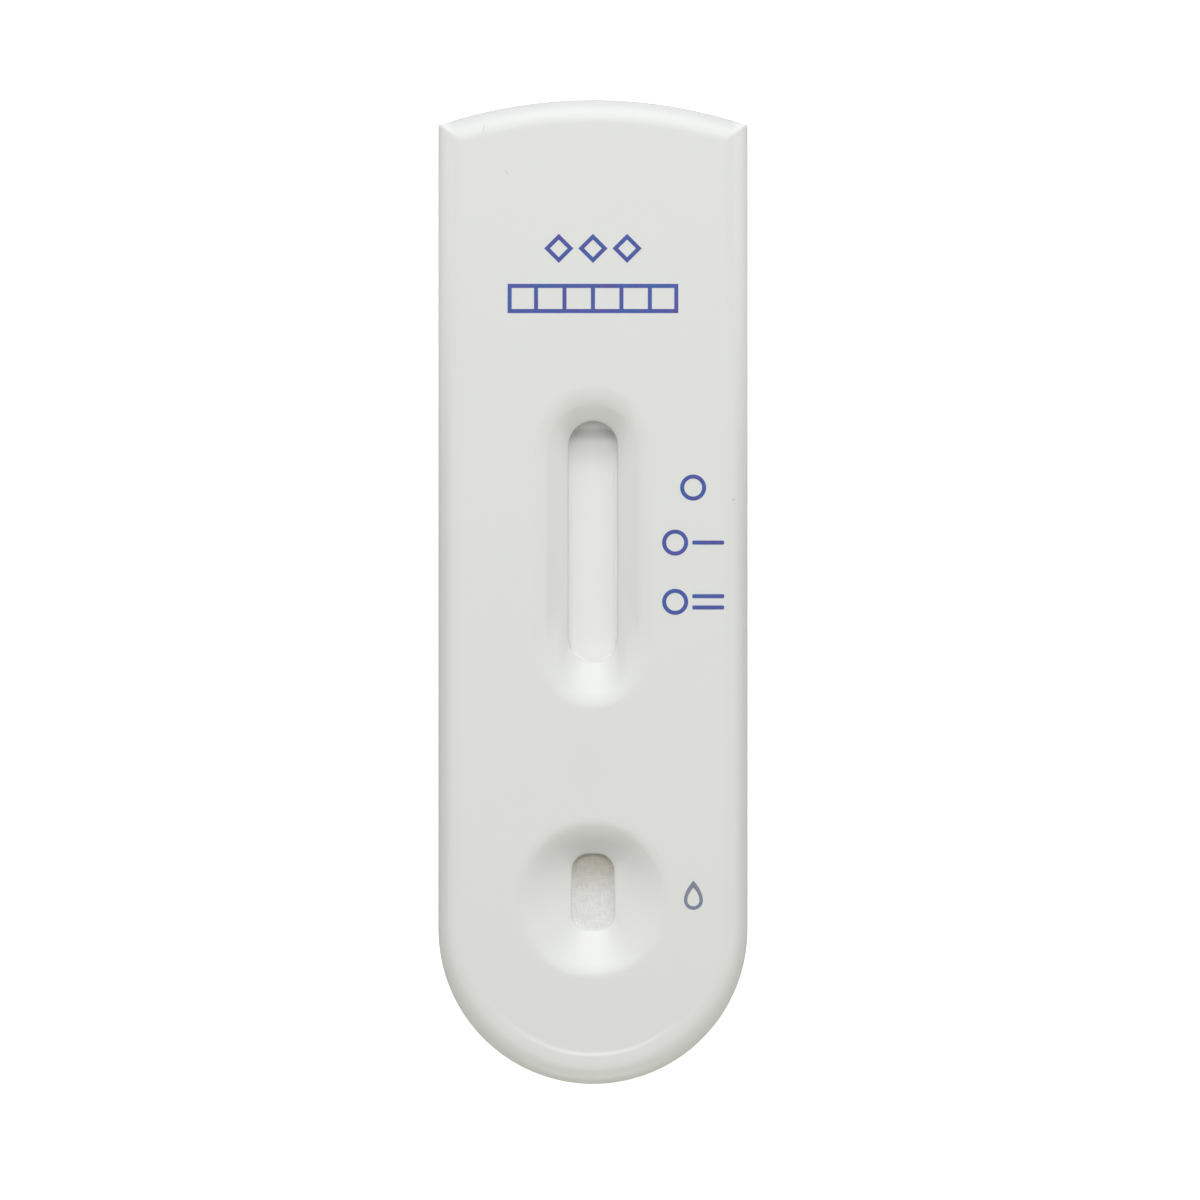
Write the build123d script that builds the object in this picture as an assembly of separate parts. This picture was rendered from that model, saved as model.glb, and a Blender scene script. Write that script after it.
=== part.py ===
from build123d import *
import math
import os

# Lateral flow cassette: two moulded half shells, pressed together round a laminated test strip.
# Millimetres. The origin is the centre of the footprint on the bottom face, +Z is up out of the
# read window, and +Y runs along the body from the round tail to the nearly square head.

# Body outline, seen from above
body_length = 70.0
body_width = 22.0
head_rise = 1.8

# Heights and walls of the half shells
lower_height = 2.2
upper_height = 2.8
side_wall = 1.2
floor_wall = 1.0
roof_wall = 1.1
top_round = 1.7
bottom_chamfer = 0.5
seam_chamfer = 0.12

# Tongue of the lower shell, and the gap round it in the upper shell's rebate
tongue_height = 0.5
tongue_thickness = 0.5
tongue_gap = 0.1

# Shallow dip of the top panel inside the tail rim
dip_depth = 0.12
dip_rim_land = 0.45
dip_length = 4.85

# Read window: a round-ended slot with a sloped surround that is longest at its tail end
window_length = 17.2
window_width = 3.5
window_from_dish = 25.26
window_depth = 1.35
surround_run = 1.95
head_run = 1.65
tail_run = 2.75
window_edge_round = 2.0

# Sample well: an oblong hole at the bottom of a round dish
dish_radius = 5.3
dish_from_tail_centre = 2.3
dish_depth = 1.7
dish_edge_round = 1.4
hole_length = 5.45
hole_width = 3.0
hole_corner = 1.2
hole_shift = 0.37

# Walls that stand round both openings inside the upper shell
skirt_wall = 0.9
collar_height = 0.6
collar_gap = 0.1

# Six-sided press pins of the upper shell, measured over their corners, and their round sockets
pin_diameter = 1.5
pin_gap = 0.05
pin_foot_gap = 0.2
pin_sides = 6
shoulder_diameter = 2.6
boss_diameter = 3.2
boss_side_gap = 0.6
pin_row_shares = (0.40, -0.01)
tail_pin_angle = 48

# Test strip
strip_width = 4.0
strip_end_room = 5.0
card_thickness = 0.25
membrane_thickness = 0.15
membrane_margin = 3.9
conjugate_thickness = 0.3
conjugate_from_dish = 1.26
sample_thickness = 0.3
absorbent_thickness = 0.9
pad_overlap = 2.0
pad_ramp = 0.6

# Seats for the strip in the lower shell
rest_height = 1.4
rest_width = 0.8
rest_shares = (-0.45, -0.35, -0.22, -0.09, 0.06, 0.21, 0.35, 0.45)
rail_width = 0.8
rail_height = 0.5
strip_gap = 0.1
stop_gap = 0.2

# Hold-down bars of the upper shell
bar_width = 0.8
bar_overhang = 1.2
absorbent_bar_share = 0.73

# Levels, from the bottom face up
total_height = lower_height + upper_height
strip_level = floor_wall + rest_height
card_top = strip_level + card_thickness
membrane_top = card_top + membrane_thickness
conjugate_top = card_top + conjugate_thickness
sample_top = card_top + sample_thickness
absorbent_top = card_top + absorbent_thickness
conjugate_over_membrane = membrane_top + conjugate_thickness
sample_over_conjugate = conjugate_top + sample_thickness
absorbent_over_membrane = membrane_top + absorbent_thickness
roof_level = total_height - roof_wall
window_rim = total_height - window_depth
window_foot = membrane_top + collar_gap
dish_rim = total_height - dish_depth
collar_top = window_foot + collar_height
tongue_top = lower_height + tongue_height

# Places along the body
tail_radius = body_width / 2
tail_centre = tail_radius - body_length / 2
head_radius = (tail_radius**2 + head_rise**2) / (2 * head_rise)
head_centre = body_length / 2 - head_radius
dish_y = tail_centre + dish_from_tail_centre
window_y = dish_y + window_from_dish
window_head_end = window_y + window_length / 2
window_tail_end = window_y - window_length / 2
membrane_head = window_head_end + membrane_margin
membrane_tail = window_tail_end - membrane_margin
conjugate_head = membrane_tail + pad_overlap
conjugate_tail = dish_y + dish_radius + conjugate_from_dish
sample_head = conjugate_tail + pad_overlap
absorbent_tail = membrane_head - pad_overlap
strip_end = body_length / 2 - strip_end_room
strip_length = 2 * strip_end
rail_inside = strip_width / 2 + strip_gap
pin_x = body_width / 2 - side_wall - boss_side_gap - boss_diameter / 2


def outline(inset):
    """The body's plan, drawn in from its edge by inset."""
    half_width = body_width / 2 - inset
    arc_radius = head_radius - inset
    shoulder = head_centre + math.sqrt(arc_radius**2 - half_width**2)
    left = Line((-half_width, tail_centre), (-half_width, shoulder))
    head = ThreePointArc((-half_width, shoulder), (0, head_centre + arc_radius), (half_width, shoulder))
    right = Line((half_width, shoulder), (half_width, tail_centre))
    tail_end = (0, tail_centre - half_width)
    tail = ThreePointArc((half_width, tail_centre), tail_end, (-half_width, tail_centre))
    return make_face([left, head, right, tail])


def prism(plan, low, high):
    """A plan stood up between two levels."""
    return extrude(Pos(0, 0, low) * plan, amount=high - low)


def window_plan(run):
    """The read window's slot, grown by run on every side."""
    slot = SlotOverall(window_length + 2 * run, window_width + 2 * run, rotation=90)
    return Pos(0, window_y) * slot


def window_slope(low_run, low, high):
    """A slope round the window's slot between two levels, as wide as the surround at its top."""
    foot = Pos(0, 0, low) * window_plan(low_run)
    top = Pos(0, 0, high) * window_plan(surround_run)
    return loft([foot, top], ruled=True)


def window_mouth(run, head_end_run, tail_end_run):
    """The slot grown by a run at its sides, one at its head and one at its tail, there as half an ellipse."""
    half = window_width / 2 + run
    head_y = window_head_end + head_end_run - half
    tail_y = window_tail_end + window_width / 2
    tail_reach = window_width / 2 + tail_end_run
    head = ThreePointArc((-half, head_y), (0, head_y + half), (half, head_y))
    right = Line((half, head_y), (half, tail_y))
    tail = EllipticalCenterArc((0, tail_y), half, tail_reach, start_angle=180, arc_size=180)
    left = Line((-half, tail_y), (-half, head_y))
    return make_face([head, right, tail, left])


def window_funnel():
    """The window's sloped surround, longer at its tail end than at its sides."""
    foot = Pos(0, 0, window_rim) * window_plan(0)
    top = Pos(0, 0, total_height) * window_mouth(surround_run, head_run, tail_run)
    return loft([foot, top], ruled=True)


def hole_plan():
    """The sample hole's rounded oblong."""
    return Pos(0, dish_y + hole_shift) * RectangleRounded(hole_width, hole_length, hole_corner)


def dish_funnel():
    """The well's dish, from the oblong hole out to its round rim."""
    rim = Pos(0, dish_y, total_height) * Circle(dish_radius)
    return loft([Pos(0, 0, dish_rim) * hole_plan(), rim], ruled=True)


def pin_places():
    """Plan centres of all press pins: pairs along the sides and one pair in the round tail."""
    spots = [(pin_x, row * body_length) for row in pin_row_shares]
    angle = math.radians(tail_pin_angle)
    spots.append((pin_x * math.cos(angle), tail_centre - pin_x * math.sin(angle)))
    return [(side * x, y) for x, y in spots for side in (-1, 1)]


def upper_blank():
    """The upper shell's outer form, before it is hollowed out."""
    block = prism(outline(0), lower_height, total_height)
    block = fillet(block.faces().sort_by(Axis.Z)[-1].edges(), top_round)
    return chamfer(block.faces().sort_by(Axis.Z)[0].edges(), seam_chamfer)


def tail_dip():
    """Cutter for the dip: a plane that falls towards the tail, inside a steep round step."""
    rim_radius = tail_radius - top_round - dip_rim_land
    far = tail_centre - rim_radius
    near = far + dip_length
    above = total_height + dip_depth
    corners = [(near, total_height), (far, total_height - dip_depth), (far, above), (near, above)]
    side = Plane.YZ * Polygon(*corners, align=None)
    wedge = extrude(side, amount=rim_radius, both=True)
    step = Cone(rim_radius - dip_depth, rim_radius + dip_depth, 2 * dip_depth)
    return wedge & Pos(0, tail_centre, total_height) * step


def soften(shell, place, radius):
    """Round the rim of the recess that opens in the top panel nearest to a place along the body."""
    panel = shell.faces().sort_by(Axis.Z)[-1]
    rims = sorted(panel.inner_wires(), key=lambda rim: abs(rim.bounding_box().center().Y - place))
    return fillet(rims[0].edges(), radius)


def dish_skirt():
    """Conical wall under the dish, down to the sample pad."""
    cone = Cone(hole_length / 2 + skirt_wall, dish_radius, roof_level - sample_top)
    return Pos(0, dish_y, (roof_level + sample_top) / 2) * cone


def cavity():
    """Hollow of the upper shell: the room over the strip, less the walls round both openings."""
    room = prism(outline(side_wall), lower_height, roof_level)
    rebate_plan = outline(side_wall - tongue_thickness - tongue_gap)
    rebate = prism(rebate_plan, lower_height, tongue_top + tongue_gap)
    collar = prism(window_plan(skirt_wall), window_foot, collar_top)
    window_skirt = collar + window_slope(skirt_wall, collar_top, roof_level)
    return room + rebate - window_skirt - dish_skirt()


def press_pin():
    """One six-sided pin with its shoulder, hanging from the roof down into its socket."""
    shoulder = prism(RegularPolygon(shoulder_diameter / 2, pin_sides), lower_height, roof_level)
    pin = prism(RegularPolygon(pin_diameter / 2, pin_sides), floor_wall + pin_foot_gap, lower_height)
    return shoulder + pin


def hold_down_bar(y, low):
    """One rib across the roof that keeps a pad down."""
    rib = Rectangle(strip_width + 2 * bar_overhang, bar_width)
    return prism(Pos(0, y) * rib, low, roof_level)


def bar_places():
    """Place and foot of each bar: one on every overlap of two pads, one on the absorbent pad's far end."""
    flat_start = membrane_head + pad_ramp + bar_width / 2
    return [
        ((conjugate_tail + sample_head) / 2, sample_over_conjugate),
        ((membrane_tail + conjugate_head) / 2, conjugate_over_membrane),
        ((absorbent_tail + membrane_head) / 2, absorbent_over_membrane),
        (flat_start + absorbent_bar_share * (strip_end - flat_start), absorbent_top),
    ]


def upper_shell():
    """Top half of the housing."""
    shell = upper_blank()
    shell -= window_funnel()
    shell = soften(shell, window_y, window_edge_round)
    shell -= dish_funnel()
    shell = soften(shell, dish_y, dish_edge_round)
    shell -= tail_dip()
    shell -= cavity()
    shell -= prism(window_plan(0), lower_height, window_rim)
    shell -= prism(hole_plan(), lower_height, dish_rim)
    for x, y in pin_places():
        shell += Pos(x, y) * press_pin()
    for y, low in bar_places():
        shell += hold_down_bar(y, low)
    return shell


def socket_boss():
    """One round post on the floor, without its bore."""
    return prism(Circle(boss_diameter / 2), floor_wall, lower_height)


def strip_cradle():
    """Rails beside the strip and a stop across each end, as one frame, and the rests under the strip."""
    room = Rectangle(2 * rail_inside, strip_length + 2 * stop_gap)
    frame = Rectangle(2 * (rail_inside + rail_width), strip_length + 2 * (stop_gap + rail_width)) - room
    cradle = [prism(frame, floor_wall, strip_level + rail_height)]
    rest = Rectangle(2 * rail_inside, rest_width)
    for share in rest_shares:
        cradle.append(prism(Pos(0, share * strip_length) * rest, floor_wall, strip_level))
    return cradle


def lower_shell():
    """Bottom half of the housing."""
    shell = prism(outline(0), 0, lower_height)
    shell = chamfer(shell.faces().sort_by(Axis.Z)[0].edges(), bottom_chamfer)
    shell = chamfer(shell.faces().sort_by(Axis.Z)[-1].edges(), seam_chamfer)
    shell -= prism(outline(side_wall), floor_wall, lower_height)
    tongue_ring = outline(side_wall - tongue_thickness) - outline(side_wall)
    shell += prism(tongue_ring, lower_height, tongue_top)
    for piece in strip_cradle():
        shell += piece
    bore = prism(Circle(pin_diameter / 2 + pin_gap), floor_wall, lower_height)
    for x, y in pin_places():
        shell += Pos(x, y) * socket_boss()
        shell -= Pos(x, y) * bore
    return shell


def pad(profile):
    """A strip layer: its side outline, as points along the body and up, drawn across the strip."""
    side = Plane.YZ * Polygon(*profile, align=None)
    return extrude(side, amount=strip_width / 2, both=True)


def layer(tail, head, low, high):
    """A flat strip layer."""
    return pad([(tail, low), (head, low), (head, high), (tail, high)])


def stepped_pad(start, edge, end, thickness, step):
    """A pad that lies on the card from its start to the edge of the next layer, and climbs over it."""
    ramp_foot = edge - math.copysign(pad_ramp, end - start)
    under = [(start, card_top), (edge, card_top), (edge, card_top + step), (end, card_top + step)]
    over = [(end, card_top + step + thickness), (edge, card_top + step + thickness)]
    flat = [(ramp_foot, card_top + thickness), (start, card_top + thickness)]
    return pad(under + over + flat)


def conjugate_pad():
    """Glass fibre pad that climbs onto the membrane's tail end."""
    return stepped_pad(
        conjugate_tail, membrane_tail, conjugate_head, conjugate_thickness, membrane_thickness
    )


def sample_pad():
    """Pad under the sample hole, which climbs onto the conjugate pad."""
    return stepped_pad(-strip_end, conjugate_tail, sample_head, sample_thickness, conjugate_thickness)


def absorbent_pad():
    """Thick pad that climbs onto the membrane's head end from the other side."""
    return stepped_pad(strip_end, membrane_head, absorbent_tail, absorbent_thickness, membrane_thickness)


def main():
    """Write every piece of the cassette."""
    pieces = {
        "upper_shell": upper_shell(),
        "lower_shell": lower_shell(),
        "backing_card": layer(-strip_end, strip_end, strip_level, card_top),
        "membrane": layer(membrane_tail, membrane_head, card_top, membrane_top),
        "conjugate_pad": conjugate_pad(),
        "sample_pad": sample_pad(),
        "absorbent_pad": absorbent_pad(),
    }
    os.makedirs("parts", exist_ok=True)
    for name, piece in pieces.items():
        export_step(piece, f"parts/{name}.step")


main()
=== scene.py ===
import math

import bpy
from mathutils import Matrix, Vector


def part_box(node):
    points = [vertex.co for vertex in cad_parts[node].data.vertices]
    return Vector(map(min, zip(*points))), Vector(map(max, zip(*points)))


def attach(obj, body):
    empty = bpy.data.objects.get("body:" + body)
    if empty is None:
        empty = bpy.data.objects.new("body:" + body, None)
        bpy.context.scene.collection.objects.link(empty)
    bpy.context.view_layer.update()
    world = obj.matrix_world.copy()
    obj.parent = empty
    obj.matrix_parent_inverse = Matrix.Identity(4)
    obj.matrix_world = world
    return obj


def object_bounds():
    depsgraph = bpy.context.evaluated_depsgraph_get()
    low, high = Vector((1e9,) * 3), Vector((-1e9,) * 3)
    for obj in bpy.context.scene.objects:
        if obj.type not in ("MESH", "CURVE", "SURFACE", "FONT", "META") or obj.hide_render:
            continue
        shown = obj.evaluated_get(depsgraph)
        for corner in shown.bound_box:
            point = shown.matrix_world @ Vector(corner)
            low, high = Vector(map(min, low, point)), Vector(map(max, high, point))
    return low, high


bl_info = {
    "name": "Lateral Flow Cassette",
    "version": (1, 0, 0),
    "blender": (4, 5, 0),
    "location": "View3D > Sidebar > Cassette",
    "description": "Dresses a moulded lateral flow cassette, prints its plain marks "
                   "and sets it on a pale stage",
    "category": "Object",
}

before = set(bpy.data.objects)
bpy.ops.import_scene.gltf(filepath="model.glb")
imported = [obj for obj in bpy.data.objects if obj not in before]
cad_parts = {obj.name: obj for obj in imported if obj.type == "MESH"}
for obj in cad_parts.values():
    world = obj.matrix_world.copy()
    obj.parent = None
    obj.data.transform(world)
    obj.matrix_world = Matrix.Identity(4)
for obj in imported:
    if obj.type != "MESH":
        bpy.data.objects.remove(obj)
cad_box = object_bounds()
MM = 0.001
panel_level = cad_box[1][2]


class HousingSettings(bpy.types.PropertyGroup):
    """Finish of the two moulded half shells."""

    tone: bpy.props.FloatVectorProperty(
        name="Plastic tone", description="Colour of the moulded plastic", subtype="COLOR", size=3,
        default=(0.735, 0.74, 0.735)
    )
    roughness: bpy.props.FloatProperty(
        name="Roughness", description="Middle value of the satin gloss", default=0.38, min=0, max=1
    )
    grain_size: bpy.props.FloatProperty(
        name="Grain size", description="Width of the mould's fine grain", default=0.16 * MM, unit="LENGTH"
    )
    grain_depth: bpy.props.FloatProperty(
        name="Grain depth", description="Height of the mould's fine grain",
        default=0.0008 * MM, unit="LENGTH"
    )
    edge_softness: bpy.props.FloatProperty(
        name="Edge softness", description="Reach of the light's turn round the moulded edges",
        default=0.3 * MM, unit="LENGTH"
    )


class StripSettings(bpy.types.PropertyGroup):
    """Colours of the layers of the test strip."""

    card_tone: bpy.props.FloatVectorProperty(
        name="Card tone", description="Colour of the backing card", subtype="COLOR", size=3,
        default=(0.78, 0.79, 0.79)
    )
    membrane_tone: bpy.props.FloatVectorProperty(
        name="Membrane tone", description="Colour of the membrane", subtype="COLOR", size=3,
        default=(0.79, 0.785, 0.78)
    )
    # Painted shade: the membrane darkens towards the window's head end, where the window's rim shades it
    head_shade_start: bpy.props.FloatProperty(
        name="Shade start", description="Where the membrane starts to dim, along the body", default=8.3 * MM,
        unit="LENGTH"
    )
    head_shade_end: bpy.props.FloatProperty(
        name="Shade end", description="Where the membrane has dimmed, along the body", default=10.7 * MM,
        unit="LENGTH"
    )
    # Painted shadow: a darker band on the membrane near the window's head end, with painted light past it
    shadow_band_place: bpy.props.FloatProperty(
        name="Shadow band", description="Place of the membrane's dull band, along the body",
        default=11.0 * MM, unit="LENGTH"
    )
    glass_tone: bpy.props.FloatVectorProperty(
        name="Glass fibre tone", description="Colour of the glass fibre pad", subtype="COLOR", size=3,
        default=(0.76, 0.72, 0.69)
    )
    sample_tone: bpy.props.FloatVectorProperty(
        name="Sample pad tone", description="Colour of the sample pad away from the glass fibre pad",
        subtype="COLOR", size=3, default=(0.75, 0.75, 0.75)
    )
    # Painted shadow: the sample pad's colour where the well hole's head end shades it
    sample_shadow_tone: bpy.props.FloatVectorProperty(
        name="Sample pad shadow tone", description="Colour of the sample pad towards the glass fibre pad",
        subtype="COLOR", size=3, default=(0.47, 0.44, 0.39)
    )
    wick_tone: bpy.props.FloatVectorProperty(
        name="Wick tone", description="Colour of the absorbent pad", subtype="COLOR", size=3,
        default=(0.80, 0.80, 0.78)
    )


class PrintSettings(bpy.types.PropertyGroup):
    """Plain printed marks on the top panel."""

    ink_tone: bpy.props.FloatVectorProperty(
        name="Ink", description="Colour of the blue ink", subtype="COLOR", size=3,
        default=(0.07, 0.07, 0.33)
    )
    ink_cool_tone: bpy.props.FloatVectorProperty(
        name="Cool ink", description="Colour that the blue ink drifts to", subtype="COLOR", size=3,
        default=(0.04, 0.095, 0.37)
    )
    thin_ink_tone: bpy.props.FloatVectorProperty(
        name="Thin ink", description="Colour where the ink is thinner, beside the well",
        subtype="COLOR", size=3, default=(0.21, 0.225, 0.29)
    )
    thin_ink_cool_tone: bpy.props.FloatVectorProperty(
        name="Thin cool ink", description="Colour that the thinner ink drifts to", subtype="COLOR", size=3,
        default=(0.15, 0.21, 0.35)
    )
    ink_height: bpy.props.FloatProperty(
        name="Ink height", description="Height of the dried ink over the panel",
        default=0.012 * MM, unit="LENGTH"
    )
    stroke: bpy.props.FloatProperty(
        name="Stroke", description="Width of a printed line", default=0.29 * MM, unit="LENGTH"
    )
    mark_height: bpy.props.FloatProperty(
        name="Mark height", description="Height of a printed mark", default=2.07 * MM, unit="LENGTH"
    )
    diamond_row: bpy.props.FloatProperty(
        name="Diamond row", description="Place of the row of diamonds along the body", default=24.35 * MM,
        unit="LENGTH"
    )
    diamond_step: bpy.props.FloatProperty(
        name="Diamond step", description="Distance between two diamonds", default=2.42 * MM, unit="LENGTH"
    )
    field_row: bpy.props.FloatProperty(
        name="Field row", description="Place of the write-on field along the body", default=20.8 * MM,
        unit="LENGTH"
    )
    field_width: bpy.props.FloatProperty(
        name="Field width", description="Width of the write-on field", default=12.1 * MM, unit="LENGTH"
    )
    field_cells: bpy.props.IntProperty(
        name="Field cells", description="Cells in the write-on field", default=6
    )
    line_marks_place: bpy.props.FloatProperty(
        name="Line marks", description="Middle of the marks beside the window, across the body",
        default=7.1 * MM, unit="LENGTH"
    )
    line_mark_rows: bpy.props.FloatVectorProperty(
        name="Line rows", description="Places of the marks beside the window, along the body", size=3,
        default=(7.4 * MM, 3.5 * MM, -0.7 * MM), unit="LENGTH"
    )
    line_mark_span: bpy.props.FloatProperty(
        name="Line mark span", description="Width of a mark that has bars", default=4.4 * MM, unit="LENGTH"
    )
    ring_width: bpy.props.FloatProperty(
        name="Ring width", description="Outside width of a printed ring", default=1.85 * MM, unit="LENGTH"
    )
    drop_place: bpy.props.FloatVectorProperty(
        name="Drop", description="Middle of the drop beside the well", size=2,
        default=(7.12 * MM, -21.85 * MM), unit="LENGTH"
    )
    drop_width: bpy.props.FloatProperty(
        name="Drop width", description="Outside width of the drop's round end",
        default=1.35 * MM, unit="LENGTH"
    )


class StageSettings(bpy.types.PropertyGroup):
    """Camera, floor and light."""

    picture_span: bpy.props.FloatProperty(
        name="Picture span", description="Width of the view at the parting line", default=85.44 * MM,
        unit="LENGTH"
    )
    focal_length: bpy.props.FloatProperty(
        name="Focal length", description="Lens, in millimetres on a 36 mm sensor", default=200.0
    )
    aim: bpy.props.FloatVectorProperty(
        name="Aim", description="Point that the camera stands over",
        default=(0.5 * MM, -0.57 * MM, 2.8 * MM), unit="LENGTH"
    )
    floor_side: bpy.props.FloatProperty(
        name="Floor side", description="Side of the square floor", default=4.0, unit="LENGTH"
    )
    floor_tone: bpy.props.FloatVectorProperty(
        name="Floor tone", description="Colour of the floor",
        subtype="COLOR", size=3, default=(0.55, 0.55, 0.55)
    )
    floor_glow: bpy.props.FloatProperty(
        name="Floor glow", description="Light that the floor gives off by itself", default=0.04
    )
    floor_lift: bpy.props.FloatProperty(
        name="Floor lift", description="Further brightness of the floor in the picture alone", default=0.9
    )
    dome_strength: bpy.props.FloatProperty(
        name="Dome strength", description="Strength of the even light of the room", default=0.13
    )
    lamp_distance: bpy.props.FloatProperty(
        name="Lamp distance", description="Distance of each lamp from the cassette",
        default=0.6, unit="LENGTH"
    )
    cool_tint: bpy.props.FloatVectorProperty(
        name="Cool tint", description="Colour of the lamps beyond the head end", subtype="COLOR", size=3,
        default=(0.945, 0.957, 1.0)
    )
    warm_tint: bpy.props.FloatVectorProperty(
        name="Warm tint", description="Colour of the room and of all other lamps", subtype="COLOR", size=3,
        default=(1.0, 0.996, 0.84)
    )


def select_only(*pieces):
    """Make these pieces the whole selection, the last of them active."""
    bpy.ops.object.select_all(action="DESELECT")
    for piece in pieces:
        piece.select_set(True)
        bpy.context.view_layer.objects.active = piece


def dress(names, material):
    """Give CAD nodes one material."""
    for name in names:
        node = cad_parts[name]
        node.data.materials.clear()
        node.data.materials.append(material)


def new_material(name):
    """A material, its node tree and its shader."""
    material = bpy.data.materials.new(name)
    material.use_nodes = True
    return material, material.node_tree, material.node_tree.nodes["Principled BSDF"]


def feed(tree, node, sources):
    """Link a node's inputs to sockets, or set them to values."""
    for key, source in sources.items():
        if isinstance(source, bpy.types.NodeSocket):
            tree.links.new(source, node.inputs[key])
        else:
            node.inputs[key].default_value = source


def add_node(tree, kind, sources=None, **settings):
    """A node with its settings and its inputs."""
    node = tree.nodes.new(kind)
    for key, value in settings.items():
        setattr(node, key, value)
    feed(tree, node, sources or {})
    return node


def add_group(tree, name, sources):
    """A placed node group with its inputs."""
    node = tree.nodes.new("ShaderNodeGroup")
    node.node_tree = shared_groups()[name]
    feed(tree, node, sources)
    return node


def arithmetic(tree, operation, *sources):
    """One step of arithmetic on numbers."""
    return add_node(tree, "ShaderNodeMath", dict(enumerate(sources)), operation=operation).outputs[0]


def vector_arithmetic(tree, operation, *sources):
    """One step of arithmetic on vectors that gives a vector."""
    return add_node(tree, "ShaderNodeVectorMath", dict(enumerate(sources)), operation=operation).outputs[0]


def vector_length(tree, vector):
    """The length of a vector."""
    return add_node(tree, "ShaderNodeVectorMath", {0: vector}, operation="LENGTH").outputs["Value"]


def scaled(tree, colour, factor):
    """A colour times a factor."""
    sources = {0: colour, "Scale": factor}
    return add_node(tree, "ShaderNodeVectorMath", sources, operation="SCALE").outputs[0]


def mixed(tree, share, first, second):
    """Two colours mixed, with a share of the second."""
    sources = {0: share, 6: first, 7: second}
    return add_node(tree, "ShaderNodeMix", sources, data_type="RGBA").outputs[2]


def ramp(tree, value, start, end, low=0.0, high=1.0, kind="LINEAR"):
    """A value taken from the span start to end to the span low to high, and held at both ends."""
    sources = {"Value": value, "From Min": start, "From Max": end, "To Min": low, "To Max": high}
    return add_node(tree, "ShaderNodeMapRange", sources, interpolation_type=kind).outputs["Result"]


def piece_place(tree):
    """The place on the piece."""
    return add_node(tree, "ShaderNodeTexCoord").outputs["Object"]


def place_along(tree):
    """The place along the body."""
    return add_node(tree, "ShaderNodeSeparateXYZ", {"Vector": piece_place(tree)}).outputs["Y"]


def object_noise(tree, size, detail=2.0, stretch=(1, 1, 1)):
    """Noise over the piece, with features of one size, drawn out along an axis where stretch is under 1."""
    drawn = vector_arithmetic(tree, "MULTIPLY", piece_place(tree), stretch)
    rate = arithmetic(tree, "DIVIDE", 1.0, size)
    sources = {"Vector": drawn, "Scale": rate, "Detail": detail}
    return add_node(tree, "ShaderNodeTexNoise", sources).outputs["Fac"]


def new_group(name, inputs, outputs):
    """An empty shader node group with its sockets, its input node and its output node."""
    group = bpy.data.node_groups.new(name, "ShaderNodeTree")
    for label, kind in inputs.items():
        group.interface.new_socket(label, in_out="INPUT", socket_type=kind)
    for label, kind in outputs.items():
        group.interface.new_socket(label, in_out="OUTPUT", socket_type=kind)
    return group, group.nodes.new("NodeGroupInput"), group.nodes.new("NodeGroupOutput")


def tone_drift_group():
    """A colour made a little lighter and darker from place to place."""
    sockets = {"Color": "NodeSocketColor", "Amount": "NodeSocketFloat", "Size": "NodeSocketFloat"}
    group, start, end = new_group("tone_drift", sockets, {"Color": "NodeSocketColor"})
    centred = arithmetic(group, "SUBTRACT", object_noise(group, start.outputs["Size"]), 0.5)
    factor = arithmetic(group, "MULTIPLY_ADD", centred, start.outputs["Amount"], 1.0)
    feed(group, end, {"Color": scaled(group, start.outputs["Color"], factor)})


# Detail of the noise behind the fine grain and behind the fibres
GRAIN_DETAIL = 4.0
FIBRE_DETAIL = 3.0

# Width of a fibre as a share of its length: of those across the body, and of those along it
ACROSS_STRETCH = (0.16, 1, 1)
ALONG_STRETCH = (1, 0.3, 1)


def fine_grain_group():
    """The fine grain of a smooth surface, as a normal."""
    sockets = {"Size": "NodeSocketFloat", "Depth": "NodeSocketFloat"}
    group, start, end = new_group("fine_grain", sockets, {"Normal": "NodeSocketVector"})
    noise = object_noise(group, start.outputs["Size"], GRAIN_DETAIL)
    bump = add_node(group, "ShaderNodeBump", {"Height": noise, "Distance": start.outputs["Depth"]})
    feed(group, end, {"Normal": bump.outputs["Normal"]})


def matted_fibres_group():
    """Fibres that lie both ways across each other, as a mask and a normal."""
    sockets = {"Size": "NodeSocketFloat", "Depth": "NodeSocketFloat"}
    results = {"Mask": "NodeSocketFloat", "Normal": "NodeSocketVector"}
    group, start, end = new_group("matted_fibres", sockets, results)
    across = object_noise(group, start.outputs["Size"], FIBRE_DETAIL, ACROSS_STRETCH)
    along = object_noise(group, start.outputs["Size"], FIBRE_DETAIL, ALONG_STRETCH)
    mask = arithmetic(group, "MAXIMUM", across, along)
    bump = add_node(group, "ShaderNodeBump", {"Height": mask, "Distance": start.outputs["Depth"]})
    feed(group, end, {"Mask": mask, "Normal": bump.outputs["Normal"]})


# Share of a worn spot's reach over which it is full
SPOT_CORE = 0.3


def wear_and_light_spot_group():
    """A soft-edged oval mask round a place on the piece: a speck, a scratch or a rub, or a patch of painted
    light.
    """
    sockets = {"Centre": "NodeSocketVector", "Turn": "NodeSocketFloat", "Reach": "NodeSocketVector"}
    group, start, end = new_group("worn_spot", sockets, {"Mask": "NodeSocketFloat"})
    centre = start.outputs["Centre"]
    turned = {"Vector": piece_place(group), "Center": centre, "Angle": start.outputs["Turn"]}
    turn = add_node(group, "ShaderNodeVectorRotate", turned, rotation_type="Z_AXIS")
    offset = vector_arithmetic(group, "SUBTRACT", turn.outputs[0], centre)
    share = vector_length(group, vector_arithmetic(group, "DIVIDE", offset, start.outputs["Reach"]))
    feed(group, end, {"Mask": ramp(group, share, SPOT_CORE, 1.0, 1.0, 0.0, "SMOOTHSTEP")})


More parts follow.
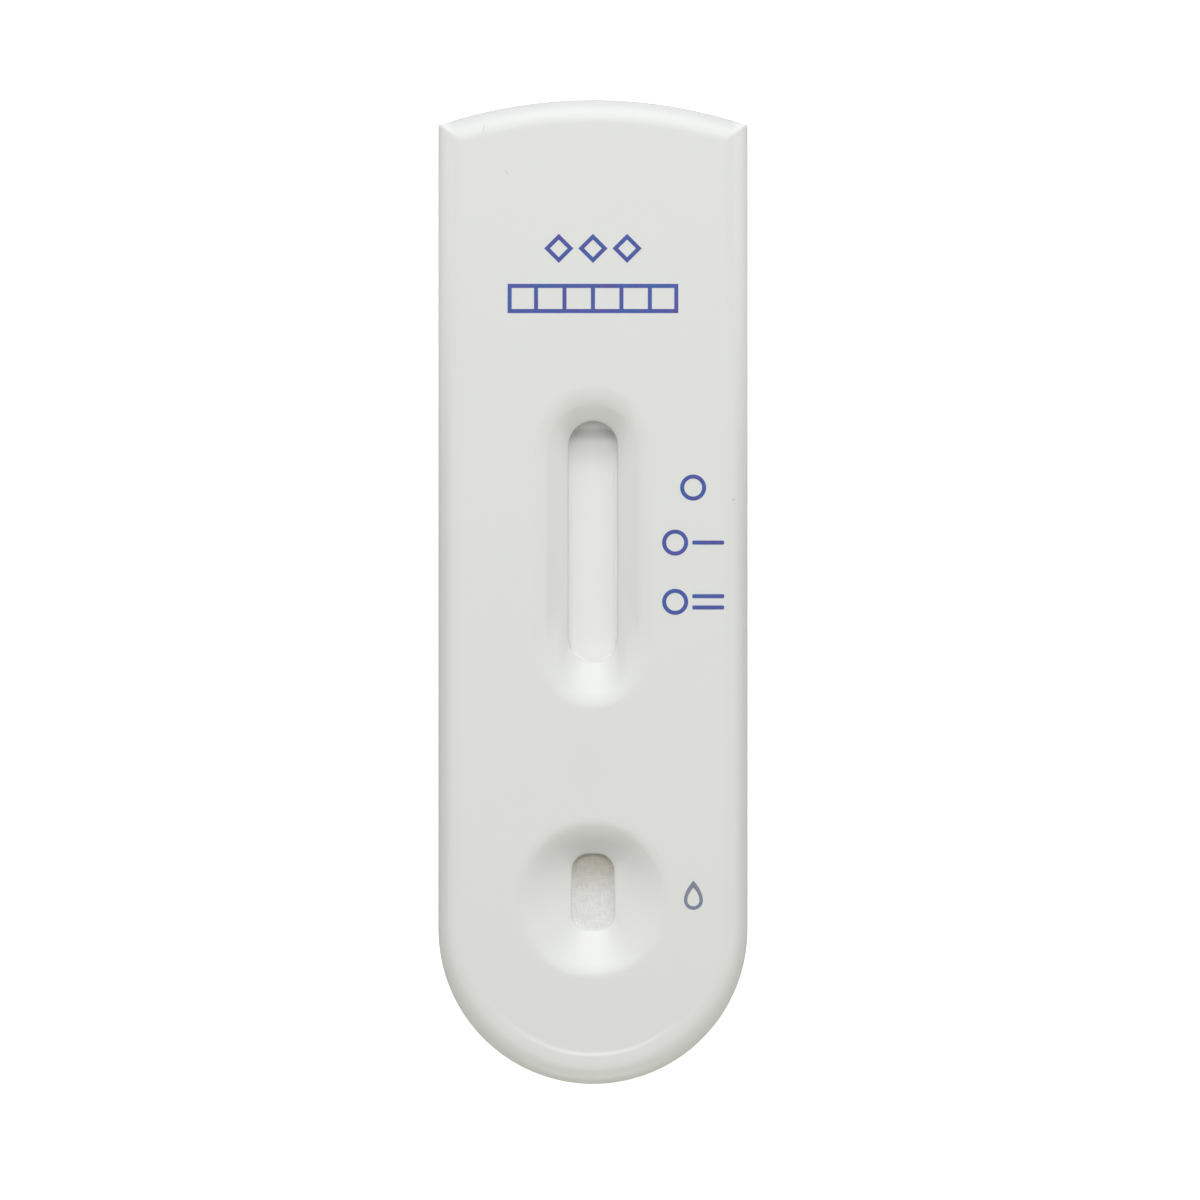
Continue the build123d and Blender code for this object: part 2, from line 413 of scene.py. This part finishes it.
def shared_groups():
    """The node groups, built once and found again by name."""
    builders = {
        "tone_drift": tone_drift_group,
        "fine_grain": fine_grain_group,
        "matted_fibres": matted_fibres_group,
        "worn_spot": wear_and_light_spot_group,
    }
    for name, build in builders.items():
        if name not in bpy.data.node_groups:
            build()
    return bpy.data.node_groups


def fine_grain(tree, size, depth):
    """The normal of a smooth surface's fine grain."""
    return add_group(tree, "fine_grain", {"Size": size, "Depth": depth}).outputs["Normal"]


def drifting(tree, colour, amount, size):
    """A colour, or a colour socket, that drifts a little from place to place."""
    source = colour if isinstance(colour, bpy.types.NodeSocket) else (*colour, 1)
    sources = {"Color": source, "Amount": amount, "Size": size}
    return add_group(tree, "tone_drift", sources).outputs["Color"]


# Small wear on the upper shell, a painted highlight on a scratch's lip, and painted light on the sides
# towards the head end: place and reach in millimetres, turn in degrees, and share of light lost, which is
# below 0 where light is gained
WEAR_AND_PAINTED_LIGHT_SPOTS = {
    "scratch by the head": ((-7.75, 32.83), (0.09, 0.52), 12, 0.16),
    # Painted highlight on the lip beside the scratch by the head
    "painted highlight on the scratch's lip": ((-7.98, 32.75), (0.07, 0.35), 12, -0.05),
    "short scratch": ((-6.12, 29.75), (0.13, 0.3), -35, 0.10),
    "speck by the edge": ((9.97, 6.55), (0.13, 0.13), 0, 0.20),
    "faint rub": ((-0.4, -12.3), (1.6, 2.6), 0, 0.012),
    # Painted light: the sides are paler towards the head end, where the lamps beyond the head light them
    "painted light on left side": ((-11.0, 33.0), (1.3, 34.0), 0, -0.19),
    "painted light on right side": ((11.0, 33.0), (1.3, 34.0), 0, -0.19),
}

# How far each tone changes from place to place: share of the tone, and width
PLASTIC_DRIFT = (0.02, 14 * MM)
CARD_DRIFT = (0.03, 3 * MM)
MEMBRANE_DRIFT = (0.02, 2.5 * MM)
MEMBRANE_PORES = (0.04, 0.07 * MM)
INK_PATCHES = (0.35, 0.5 * MM)
INK_SPECKS = (0.5, 0.09 * MM)

# Width of a paler or darker patch of fibres
FIBRE_PATCH = 0.9 * MM

# The plastic's gloss: width of a change and its detail, and swing either way
GLOSS_CHANGE = (2.5 * MM, 3.0)
GLOSS_SWING = 0.03

# Samples that find the plastic's edges for their softening
EDGE_SAMPLES = 6

# The ink's turn to its cool tone: width and detail, and the noise values that it lies between
INK_TURN = (1.3 * MM, 1.0)
INK_SPAN = (0.38, 0.62)

# Noise values between which fibres rise out of their gaps
FIBRE_SPAN = (0.42, 0.68)

# Fine grain of each surface but the shells': size and depth
CARD_GRAIN = (0.1 * MM, 0.0005 * MM)
MEMBRANE_GRAIN = (0.05 * MM, 0.003 * MM)
INK_GRAIN = (0.08 * MM, 0.002 * MM)

# Roughness, and the weak shine of the membrane and of the fibres
CARD_ROUGHNESS = 0.35
MEMBRANE_ROUGHNESS = 0.92
MEMBRANE_SHINE = 0.25
FIBRE_ROUGHNESS = 0.95
FIBRE_SHINE = 0.2
INK_ROUGHNESS = 0.45


def plastic_material(settings):
    """White moulded plastic: satin, even, with slight wear, painted light on the sides towards the head
    end, and softly turned edges.
    """
    material, tree, shader = new_material("white_moulded_plastic")
    colour = drifting(tree, settings.tone, *PLASTIC_DRIFT)
    for place, reach, turn, loss in WEAR_AND_PAINTED_LIGHT_SPOTS.values():
        centre = (place[0] * MM, place[1] * MM, panel_level)
        sources = {"Centre": centre, "Turn": math.radians(turn), "Reach": (reach[0] * MM, reach[1] * MM, 1)}
        spot = add_group(tree, "worn_spot", sources)
        colour = scaled(tree, colour, arithmetic(tree, "MULTIPLY_ADD", spot.outputs["Mask"], -loss, 1.0))
    noise = object_noise(tree, *GLOSS_CHANGE)
    smoothest, roughest = settings.roughness - GLOSS_SWING, settings.roughness + GLOSS_SWING
    grain = fine_grain(tree, settings.grain_size, settings.grain_depth)
    edges = {"Radius": settings.edge_softness, "Normal": grain}
    eased = add_node(tree, "ShaderNodeBevel", edges, samples=EDGE_SAMPLES)
    feed(tree, shader, {
        "Base Color": colour,
        "Roughness": ramp(tree, noise, 0.0, 1.0, smoothest, roughest),
        "Normal": eased.outputs["Normal"],
    })
    return material


def dimmed_along(tree, colour, start, end, loss):
    """A colour that loses a share of its light between two places along the body; below 0 it gains."""
    return scaled(tree, colour, ramp(tree, place_along(tree), start, end, 1.0, 1 - loss, "SMOOTHSTEP"))


# Openings over the strip: middle, half of each side less the corner, and corner radius
READ_WINDOW = ((0, 3.56 * MM, 0), (0, 6.85 * MM, 0), 1.75 * MM)
WELL_HOLE = ((0, -21.33 * MM, 0), (0.3 * MM, 1.525 * MM, 0), 1.2 * MM)

# Light that the walls pass on: its reach, and its share on the membrane and on the pad
WALL_LIGHT_REACH = 0.22 * MM
MEMBRANE_LIFT = 0.22
PAD_LIFT = 0.11


def lit_by_walls(tree, colour, opening, lift):
    """A colour made lighter close to the walls of an opening, whose thin white plastic passes light on."""
    middle, core, radius = opening
    offset = vector_arithmetic(tree, "SUBTRACT", piece_place(tree), middle)
    sides = vector_arithmetic(tree, "ABSOLUTE", offset)
    beyond = vector_arithmetic(tree, "SUBTRACT", sides, core)
    corners = vector_arithmetic(tree, "MAXIMUM", beyond, (0, 0, 0))
    reach = vector_length(tree, vector_arithmetic(tree, "MULTIPLY", corners, (1, 1, 0)))
    return scaled(tree, colour, ramp(tree, reach, radius - WALL_LIGHT_REACH, radius, 1.0, 1 + lift))


def card_material(settings):
    """Smooth plastic card under the strip."""
    material, tree, shader = new_material("backing_card_film")
    feed(tree, shader, {
        "Base Color": drifting(tree, settings.card_tone, *CARD_DRIFT),
        "Roughness": CARD_ROUGHNESS,
        "Normal": fine_grain(tree, *CARD_GRAIN),
    })
    return material


# Share of its light that the membrane loses to painted shade towards the window's head end
HEAD_SHADE_LOSS = 0.16

# The ways into the membrane's band of painted shadow and out of it, where painted light brightens it again
# towards the head end: start and end from the band's place, and share of light lost
SHADOW_BAND_WAYS = ((-0.5 * MM, 0.3 * MM, 0.28), (0.4 * MM, 0.9 * MM, -0.6))


def membrane_material(settings):
    """Nitrocellulose: white and dead matte, with the finest of pores, painted shade and a band of painted
    shadow near the window's head end, and painted light past the band.
    """
    material, tree, shader = new_material("nitrocellulose")
    slow = drifting(tree, settings.membrane_tone, *MEMBRANE_DRIFT)
    colour = drifting(tree, slow, *MEMBRANE_PORES)
    # Painted shade and a painted shadow band near the window's head end, with painted light past the band
    colour = dimmed_along(tree, colour, settings.head_shade_start, settings.head_shade_end, HEAD_SHADE_LOSS)
    for start, end, loss in SHADOW_BAND_WAYS:
        colour = dimmed_along(tree, colour, settings.shadow_band_place + start, settings.shadow_band_place + end, loss)
    feed(tree, shader, {
        "Base Color": lit_by_walls(tree, colour, READ_WINDOW, MEMBRANE_LIFT),
        "Roughness": MEMBRANE_ROUGHNESS,
        "Specular IOR Level": MEMBRANE_SHINE,
        "Normal": fine_grain(tree, *MEMBRANE_GRAIN),
    })
    return material


def fibre_material(name, colours, size, depth, drift):
    """Matted fibres between two colours, the first in their gaps; each colour is given by its maker."""
    material, tree, shader = new_material(name)
    fibres = add_group(tree, "matted_fibres", {"Size": size, "Depth": depth})
    low, high = [make(tree) for make in colours]
    colour = mixed(tree, ramp(tree, fibres.outputs["Mask"], *FIBRE_SPAN), low, high)
    feed(tree, shader, {
        "Base Color": drifting(tree, colour, drift, FIBRE_PATCH),
        "Roughness": FIBRE_ROUGHNESS,
        "Specular IOR Level": FIBRE_SHINE,
        "Normal": fibres.outputs["Normal"],
    })
    return material


def plain(colour, share=1.0):
    """A maker of one colour, dimmed by a share."""
    return lambda tree: (*(share * value for value in colour), 1)


# Shares of the sample pad's length between which it darkens with painted shadow from the well hole's head
# end
PAD_SHADE_START_SHARE = 0.45
PAD_SHADE_FULL_SHARE = 0.68


def shaded_sample_pad(settings, share=1.0):
    """A maker of the sample pad's colour, which darkens with painted shadow towards the glass fibre pad,
    and is lighter by painted light next to the well hole's walls.
    """
    low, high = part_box("sample_pad")
    length = high[1] - low[1]
    ends = (low[1] + PAD_SHADE_START_SHARE * length, low[1] + PAD_SHADE_FULL_SHARE * length)

    def make(tree):
        # Painted shadow, darker towards the well hole's head end
        way = ramp(tree, place_along(tree), *ends, kind="SMOOTHSTEP")
        light = plain(settings.sample_tone, share)(tree)
        dark = plain(settings.sample_shadow_tone, share)(tree)
        return lit_by_walls(tree, mixed(tree, way, light, dark), WELL_HOLE, PAD_LIFT)

    return make


def ink_material(name, tone, cool_tone):
    """Printed ink: thin, patchy, drifting between two tones, and smoother than the plastic."""
    material, tree, shader = new_material(name)
    share = ramp(tree, object_noise(tree, *INK_TURN), *INK_SPAN)
    colour = drifting(tree, mixed(tree, share, (*tone, 1), (*cool_tone, 1)), *INK_PATCHES)
    feed(tree, shader, {
        "Base Color": drifting(tree, colour, *INK_SPECKS),
        "Roughness": INK_ROUGHNESS,
        "Normal": fine_grain(tree, *INK_GRAIN),
    })
    return material


# Shape of the drop: how long its sides stay full, and its hollow's share of its size
DROP_FULLNESS = 0.9
DROP_HOLLOW = 0.64

# Corners of a printed ring and of a printed drop
RING_CORNERS = 48
DROP_CORNERS = 64

# Rounding of a bar's corners, in strokes, and the edges that it is made of
BAR_ROUNDING = 0.3
BAR_ROUNDING_EDGES = 3

# Half of the distance between the middles of two bars
HALF_BAR_STEP = 0.4 * MM


def hollow_out(stroke):
    """Turn the selected flat faces into outlines of one stroke's width."""
    bpy.ops.mesh.inset(thickness=stroke, use_individual=True)
    bpy.ops.mesh.delete(type="FACE")


def raise_ink(piece, height):
    """Give a flat print its height above the panel, and put its place in its mesh."""
    bpy.ops.mesh.select_all(action="SELECT")
    bpy.ops.mesh.extrude_region_move(TRANSFORM_OT_translate={"value": (0, 0, height)})
    bpy.ops.mesh.select_all(action="SELECT")
    bpy.ops.mesh.normals_make_consistent(inside=False)
    bpy.ops.object.mode_set(mode="OBJECT")
    select_only(piece)
    bpy.ops.object.transform_apply(location=True, rotation=True, scale=True)
    return piece


def printed_ring(place, settings):
    """An open ring."""
    bpy.ops.object.select_all(action="DESELECT")
    bpy.ops.mesh.primitive_circle_add(
        vertices=RING_CORNERS, radius=settings.ring_width / 2, fill_type="NGON",
        location=(*place, panel_level)
    )
    piece = bpy.context.object
    bpy.ops.object.mode_set(mode="EDIT")
    bpy.ops.mesh.select_all(action="SELECT")
    hollow_out(settings.stroke)
    return raise_ink(piece, settings.ink_height)


def printed_bar(place, length, settings):
    """A bar across the body with softly rounded corners."""
    bpy.ops.object.select_all(action="DESELECT")
    bpy.ops.mesh.primitive_plane_add(size=1, location=(*place, panel_level))
    piece = bpy.context.object
    bpy.ops.object.mode_set(mode="EDIT")
    bpy.ops.mesh.select_all(action="SELECT")
    bpy.ops.transform.resize(value=(length, settings.stroke, 1))
    rounding = BAR_ROUNDING * settings.stroke
    bpy.ops.mesh.bevel(offset=rounding, segments=BAR_ROUNDING_EDGES, affect="VERTICES")
    return raise_ink(piece, settings.ink_height)


def printed_cells(place, size, count, settings):
    """A row of joined cells, drawn as lines."""
    bpy.ops.object.select_all(action="DESELECT")
    bpy.ops.mesh.primitive_grid_add(
        x_subdivisions=count, y_subdivisions=1, size=1, location=(*place, panel_level)
    )
    piece = bpy.context.object
    bpy.ops.object.mode_set(mode="EDIT")
    bpy.ops.mesh.select_all(action="SELECT")
    bpy.ops.transform.resize(value=(size[0], size[1], 1))
    bpy.ops.mesh.inset(thickness=settings.stroke / 2)
    hollow_out(settings.stroke / 2)
    return raise_ink(piece, settings.ink_height)


def printed_diamond(place, settings):
    """An open diamond."""
    bpy.ops.object.select_all(action="DESELECT")
    bpy.ops.mesh.primitive_circle_add(
        vertices=4, radius=settings.mark_height / 2, fill_type="NGON", location=(*place, panel_level)
    )
    piece = bpy.context.object
    bpy.ops.object.mode_set(mode="EDIT")
    bpy.ops.mesh.select_all(action="SELECT")
    hollow_out(settings.stroke)
    return raise_ink(piece, settings.ink_height)


def printed_drop(place, settings):
    """An open drop, round below and drawn out to a point above."""
    radius = settings.drop_width / 2
    tip = settings.mark_height - radius
    bpy.ops.object.select_all(action="DESELECT")
    bpy.ops.mesh.primitive_circle_add(
        vertices=DROP_CORNERS, radius=radius, fill_type="NGON", location=(*place, panel_level)
    )
    piece = bpy.context.object
    for vertex in piece.data.vertices:
        share = vertex.co.y / radius
        if share > 0:
            vertex.co.x = math.copysign(radius * (1 - share) * (1 + DROP_FULLNESS * share), vertex.co.x)
            vertex.co.y = share * tip
    bpy.ops.object.mode_set(mode="EDIT")
    bpy.ops.mesh.select_all(action="SELECT")
    # A smaller copy of the outline keeps its sharp tip clean, which an inset of one width would not
    bpy.ops.mesh.inset(thickness=0)
    bpy.ops.transform.resize(value=(DROP_HOLLOW, DROP_HOLLOW, 1), center_override=(*place, panel_level))
    bpy.ops.mesh.delete(type="FACE")
    return raise_ink(piece, settings.ink_height)


def copied(piece, offset):
    """A copy of a finished mark, moved across and along the body."""
    select_only(piece)
    bpy.ops.object.duplicate()
    bpy.ops.transform.translate(value=(*offset, 0))
    bpy.ops.object.transform_apply(location=True, rotation=True, scale=True)
    return bpy.context.object


def join_print(name, pieces, material):
    """One print from several marks, riding on the body."""
    select_only(*pieces)
    bpy.ops.object.join()
    piece = bpy.context.object
    piece.name = name
    piece.data.name = name
    piece.data.materials.clear()
    piece.data.materials.append(material)
    select_only(piece)
    bpy.ops.object.transform_apply(location=True, rotation=True, scale=True)
    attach(piece, "root")
    return piece


class CASSETTE_OT_housing(bpy.types.Operator):
    """Give both half shells their moulded finish."""

    bl_idname = "cassette.housing"
    bl_label = "Housing"

    def execute(self, context):
        dress(("upper_shell", "lower_shell"), plastic_material(context.scene.cassette_housing))
        return {"FINISHED"}


# Fibres of the three pads: width, depth, and the share by which the tone drifts
GLASS_FIBRES = (0.05 * MM, 0.012 * MM, 0.08)
SAMPLE_FIBRES = (0.12 * MM, 0.012 * MM, 0.10)
WICK_FIBRES = (0.10 * MM, 0.02 * MM, 0.06)

# Light of the gaps between fibres and of the sample pad's fibres, as shares of the pad's tone
GLASS_GAPS = 0.9
SAMPLE_GAPS = 0.9
SAMPLE_CRESTS = 1.03
WICK_GAPS = 0.92


class CASSETTE_OT_strip(bpy.types.Operator):
    """Give each layer of the test strip its own finish."""

    bl_idname = "cassette.strip"
    bl_label = "Test strip"

    def execute(self, context):
        settings = context.scene.cassette_strip
        dress(("backing_card",), card_material(settings))
        dress(("membrane",), membrane_material(settings))
        glass = (plain(settings.glass_tone, GLASS_GAPS), plain(settings.glass_tone))
        dress(("conjugate_pad",), fibre_material("glass_fibre", glass, *GLASS_FIBRES))
        sample = (shaded_sample_pad(settings, SAMPLE_GAPS), shaded_sample_pad(settings, SAMPLE_CRESTS))
        dress(("sample_pad",), fibre_material("sample_pad_fibre", sample, *SAMPLE_FIBRES))
        wick = (plain(settings.wick_tone, WICK_GAPS), plain(settings.wick_tone))
        dress(("absorbent_pad",), fibre_material("wick_fibre", wick, *WICK_FIBRES))
        return {"FINISHED"}


class CASSETTE_OT_heading_print(bpy.types.Operator):
    """Print a row of open diamonds and an empty write-on field at the head end."""

    bl_idname = "cassette.heading_print"
    bl_label = "Heading print"

    def execute(self, context):
        settings = context.scene.cassette_print
        diamond = printed_diamond((0, settings.diamond_row), settings)
        marks = [diamond] + [copied(diamond, (side * settings.diamond_step, 0)) for side in (-1, 1)]
        size = (settings.field_width, settings.mark_height)
        marks.append(printed_cells((0, settings.field_row), size, settings.field_cells, settings))
        ink = ink_material("blue_ink", settings.ink_tone, settings.ink_cool_tone)
        join_print("print_heading", marks, ink)
        return {"FINISHED"}


class CASSETTE_OT_line_marks(bpy.types.Operator):
    """Print the three plain marks beside the read window."""

    bl_idname = "cassette.line_marks"
    bl_label = "Line marks"

    def execute(self, context):
        settings = context.scene.cassette_print
        middle = settings.line_marks_place
        first, second, third = settings.line_mark_rows
        ring_place = middle - (settings.line_mark_span - settings.ring_width) / 2
        gap = settings.stroke
        length = settings.line_mark_span - settings.ring_width - gap
        bar_place = middle + (settings.line_mark_span - length) / 2
        ring = printed_ring((middle, first), settings)
        bar = printed_bar((bar_place, second), length, settings)
        marks = [ring, bar]
        for row in (second, third):
            marks.append(copied(ring, (ring_place - middle, row - first)))
        for side in (-1, 1):
            marks.append(copied(bar, (0, third - second + side * HALF_BAR_STEP)))
        join_print("print_line_marks", marks, bpy.data.materials["blue_ink"])
        return {"FINISHED"}


class CASSETTE_OT_well_mark(bpy.types.Operator):
    """Print the drop beside the sample well."""

    bl_idname = "cassette.well_mark"
    bl_label = "Well mark"

    def execute(self, context):
        settings = context.scene.cassette_print
        drop = printed_drop(settings.drop_place, settings)
        ink = ink_material("thin_blue_ink", settings.thin_ink_tone, settings.thin_ink_cool_tone)
        join_print("print_well_mark", [drop], ink)
        return {"FINISHED"}


# Soft lamps: azimuth from the head end and height in degrees, sides in metres, watts, and tint
LAMPS = {
    "head_high": (0, 65, 0.50, 0.30, 1.13, "cool_tint"),
    "head_middle": (0, 42, 0.50, 0.30, 1.18, "cool_tint"),
    "head_low": (0, 22, 0.42, 0.16, 0.90, "cool_tint"),
    "tail_high": (180, 60, 0.14, 0.30, 0.45, "cool_tint"),
    "tail_low": (180, 3.5, 0.50, 0.06, 0.85, "warm_tint"),
    "left": (-90, 38, 0.50, 0.30, 0.75, "warm_tint"),
    "right": (90, 38, 0.50, 0.30, 0.82, "warm_tint"),
}


def add_lamp(name, azimuth, elevation, width, height, watts, tint, distance):
    """A rectangular lamp on a sphere round the origin, facing it."""
    data = bpy.data.lights.new(name, "AREA")
    data.shape = "RECTANGLE"
    data.size = width
    data.size_y = height
    data.energy = watts
    data.color = tint
    lamp = bpy.data.objects.new(name, data)
    bpy.context.scene.collection.objects.link(lamp)
    turn, rise = math.radians(azimuth), math.radians(elevation)
    way = Vector((math.sin(turn) * math.cos(rise), math.cos(turn) * math.cos(rise), math.sin(rise)))
    lamp.location = distance * way
    lamp.rotation_euler = (-way).to_track_quat("-Z", "Y").to_euler()


# The floor: share and width of its tone's changes, its roughness, and its glow's colour
FLOOR_DRIFT = (0.01, 0.1)
FLOOR_ROUGHNESS = 0.9
FLOOR_GLOW_TONE = (1, 1, 0.97, 1)


def floor_material(settings):
    """A matte floor that glows a little, and is brighter to the camera than to the cassette."""
    material, tree, shader = new_material("pale_table")
    seen = add_node(tree, "ShaderNodeLightPath").outputs["Is Camera Ray"]
    glow = arithmetic(tree, "MULTIPLY_ADD", seen, settings.floor_lift, settings.floor_glow)
    feed(tree, shader, {
        "Base Color": drifting(tree, settings.floor_tone, *FLOOR_DRIFT),
        "Roughness": FLOOR_ROUGHNESS,
        "Emission Color": FLOOR_GLOW_TONE,
        "Emission Strength": glow,
    })
    return material


# The camera's sensor, which Blender takes in millimetres, and the nearest that it sees
SENSOR_WIDTH = 36
CLIP_START = 10 * MM


class CASSETTE_OT_stage(bpy.types.Operator):
    """Lay the floor and set the light and the camera."""

    bl_idname = "cassette.stage"
    bl_label = "Stage"

    def execute(self, context):
        settings = context.scene.cassette_stage
        bpy.ops.object.select_all(action="DESELECT")
        bpy.ops.mesh.primitive_plane_add(size=settings.floor_side, location=(0, 0, 0))
        floor = context.object
        floor.name = "floor"
        floor.data.materials.append(floor_material(settings))

        world = bpy.data.worlds.new("room")
        world.use_nodes = True
        background = world.node_tree.nodes["Background"]
        background.inputs["Color"].default_value = (*settings.warm_tint, 1)
        background.inputs["Strength"].default_value = settings.dome_strength
        context.scene.world = world
        for name, (azimuth, elevation, width, height, watts, tint) in LAMPS.items():
            colour = getattr(settings, tint)
            add_lamp(name, azimuth, elevation, width, height, watts, colour, settings.lamp_distance)

        camera_data = bpy.data.cameras.new("camera")
        camera_data.lens = settings.focal_length
        camera_data.sensor_width = SENSOR_WIDTH
        camera_data.clip_start = CLIP_START
        camera = bpy.data.objects.new("camera", camera_data)
        context.scene.collection.objects.link(camera)
        distance = settings.picture_span * settings.focal_length / camera_data.sensor_width
        camera.location = Vector(settings.aim) + Vector((0, 0, distance))
        context.scene.camera = camera
        context.scene.view_settings.view_transform = "Standard"
        return {"FINISHED"}


class CASSETTE_PT_panel(bpy.types.Panel):
    """Buttons that make the cassette, in the 3D view's sidebar."""

    bl_idname = "CASSETTE_PT_panel"
    bl_label = "Lateral Flow Cassette"
    bl_space_type = "VIEW_3D"
    bl_region_type = "UI"
    bl_category = "Cassette"

    def draw(self, context):
        for operator in operators:
            self.layout.operator(operator.bl_idname)


operators = (
    CASSETTE_OT_housing,
    CASSETTE_OT_strip,
    CASSETTE_OT_heading_print,
    CASSETTE_OT_line_marks,
    CASSETTE_OT_well_mark,
    CASSETTE_OT_stage,
)
settings_groups = {
    "cassette_housing": HousingSettings,
    "cassette_strip": StripSettings,
    "cassette_print": PrintSettings,
    "cassette_stage": StageSettings,
}


def register():
    """Register every class and put the settings on the scene."""
    for name, group in settings_groups.items():
        bpy.utils.register_class(group)
        setattr(bpy.types.Scene, name, bpy.props.PointerProperty(type=group))
    for item in (*operators, CASSETTE_PT_panel):
        bpy.utils.register_class(item)


def unregister():
    """Remove the classes and the settings."""
    for item in (CASSETTE_PT_panel, *reversed(operators)):
        bpy.utils.unregister_class(item)
    for name, group in settings_groups.items():
        delattr(bpy.types.Scene, name)
        bpy.utils.unregister_class(group)


def main():
    """Dress the cassette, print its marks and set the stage."""
    register()
    bpy.ops.cassette.housing()
    bpy.ops.cassette.strip()
    bpy.ops.cassette.heading_print()
    bpy.ops.cassette.line_marks()
    bpy.ops.cassette.well_mark()
    bpy.ops.cassette.stage()


if __name__ == "__main__":
    main()
